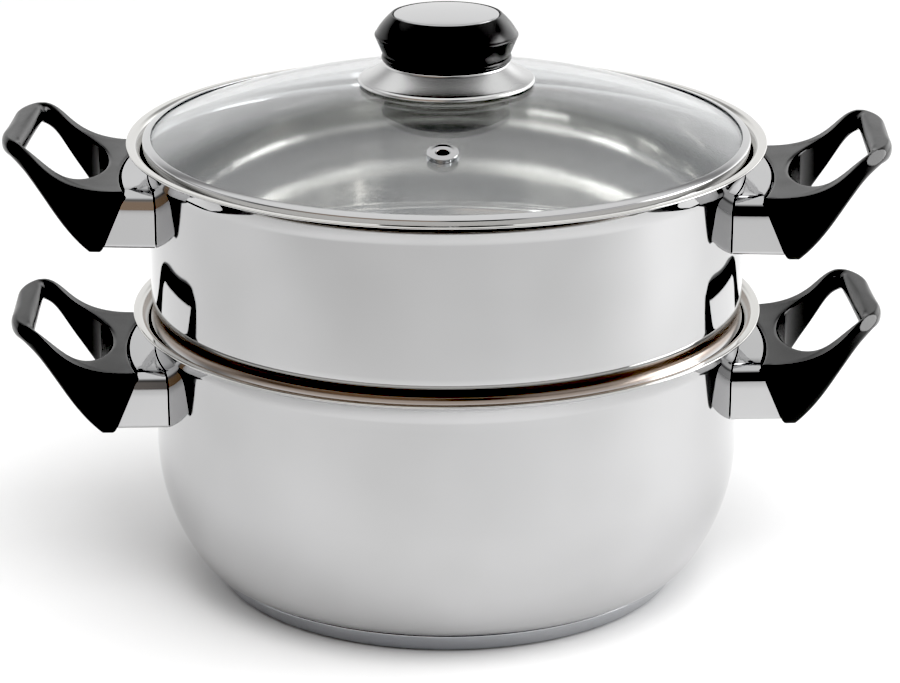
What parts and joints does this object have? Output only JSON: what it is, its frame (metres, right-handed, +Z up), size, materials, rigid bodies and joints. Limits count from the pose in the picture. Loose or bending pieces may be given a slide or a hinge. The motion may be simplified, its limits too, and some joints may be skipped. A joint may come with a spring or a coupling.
{
  "type": "steamer pot",
  "caption": "Two-tier stovetop steamer: a bellied steel pot, a nesting steamer with a perforated floor, and a domed glass lid with knob and steam vent.",
  "frame": {"origin": "on the table under the middle of the base", "axes": "+Z up along the common axis of pot, steamer and lid; +X through the right pot handle; -Y towards the viewer of the picture"},
  "size_m": [0.332, 0.2402, 0.2193],
  "materials": {
    "polished_steel": "mirror-polished stainless steel",
    "plain_steel": "plain bright steel fasteners",
    "aluminium_core": "rolled aluminium disc",
    "bakelite": "black moulded phenolic with a soft shine",
    "lid_glass": "clear tempered glass, faintly green",
    "silicone": "translucent silicone",
    "brass_insert": "knurled brass insert, drawn plain"
  },
  "bodies": {
    "pot": {"pot_body": "polished_steel", "base_cap": "polished_steel", "base_core": "aluminium_core", "pot_guard_right": "polished_steel", "pot_grip_right": "bakelite", "pot_stud_right": "plain_steel", "pot_screw_right": "plain_steel", "pot_guard_left": "polished_steel", "pot_grip_left": "bakelite", "pot_stud_left": "plain_steel", "pot_screw_left": "plain_steel"},
    "steamer": {"steamer_body": "polished_steel", "steamer_guard_right": "polished_steel", "steamer_grip_right": "bakelite", "steamer_stud_right": "plain_steel", "steamer_screw_right": "plain_steel", "steamer_guard_left": "polished_steel", "steamer_grip_left": "bakelite", "steamer_stud_left": "plain_steel", "steamer_screw_left": "plain_steel"},
    "lid": {"lid_glass": "lid_glass", "lid_band": "polished_steel", "steam_vent": "polished_steel", "knob_base": "polished_steel", "knob": "bakelite", "knob_disc": "polished_steel", "knob_seal": "silicone", "knob_washer": "plain_steel", "knob_insert": "brass_insert", "knob_screw": "plain_steel"}
  },
  "joints": [
    {"name": "steamer_lift", "type": "slide", "parent": "pot", "child": "steamer", "axis": [0, 0, 1], "range_m": [0, 0.12]},
    {"name": "lid_lift", "type": "slide", "parent": "steamer", "child": "lid", "axis": [0, 0, 1], "range_m": [0, 0.1]}
  ]
}
